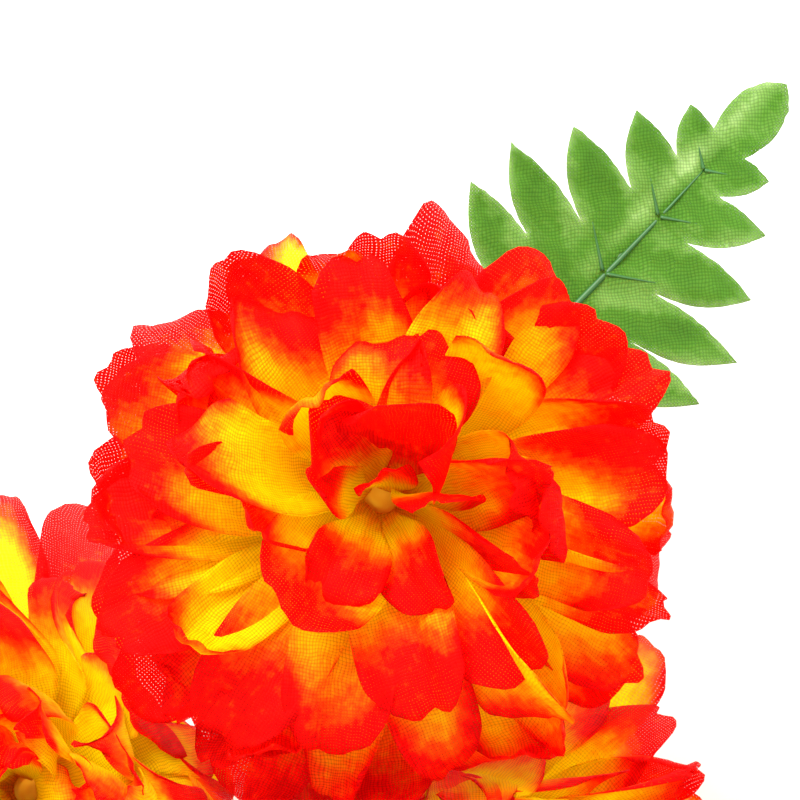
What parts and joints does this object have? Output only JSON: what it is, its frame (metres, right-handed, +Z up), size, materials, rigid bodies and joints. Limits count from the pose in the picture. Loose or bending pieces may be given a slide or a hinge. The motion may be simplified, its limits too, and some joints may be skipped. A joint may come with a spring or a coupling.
{
  "type": "artificial chrysanthemum bouquet",
  "caption": "Artificial bouquet lying on its side: dense red and yellow fabric heads on bendable stems plugged into one moulded main stem, with lobed green fabric leaves.",
  "frame": {"origin": "middle of the base of the whole bouquet's box, on the surface it lies on", "axes": "+Y along the main stem from its cut end towards the heads, +Z up, +X to the right seen from the cut end"},
  "size_m": [0.4078, 0.5094, 0.1651],
  "materials": {
    "petal_fabric": "woven polyester, dyed yellow to red, matt",
    "leaf_fabric": "woven polyester, green, matt",
    "green_plastic": "moulded, satin"
  },
  "bodies": {
    "root": {"main_stem": "green_plastic", "stem_a": "green_plastic", "calyx_a": "green_plastic", "head_a": "petal_fabric", "stem_b": "green_plastic", "calyx_b": "green_plastic", "head_b": "petal_fabric", "stem_c": "green_plastic", "calyx_c": "green_plastic", "head_c": "petal_fabric", "stem_d": "green_plastic", "calyx_d": "green_plastic", "head_d": "petal_fabric", "stem_e": "green_plastic", "calyx_e": "green_plastic", "head_e": "petal_fabric", "stem_f": "green_plastic", "calyx_f": "green_plastic", "head_f": "petal_fabric", "stem_g": "green_plastic", "calyx_g": "green_plastic", "head_g": "petal_fabric", "leaf_a": "leaf_fabric", "leaf_b": "leaf_fabric", "leaf_c": "leaf_fabric", "leaf_d": "leaf_fabric", "leaf_e": "leaf_fabric", "leaf_f": "leaf_fabric", "leaf_g": "leaf_fabric", "leaf_h": "leaf_fabric"}
  },
  "joints": []
}
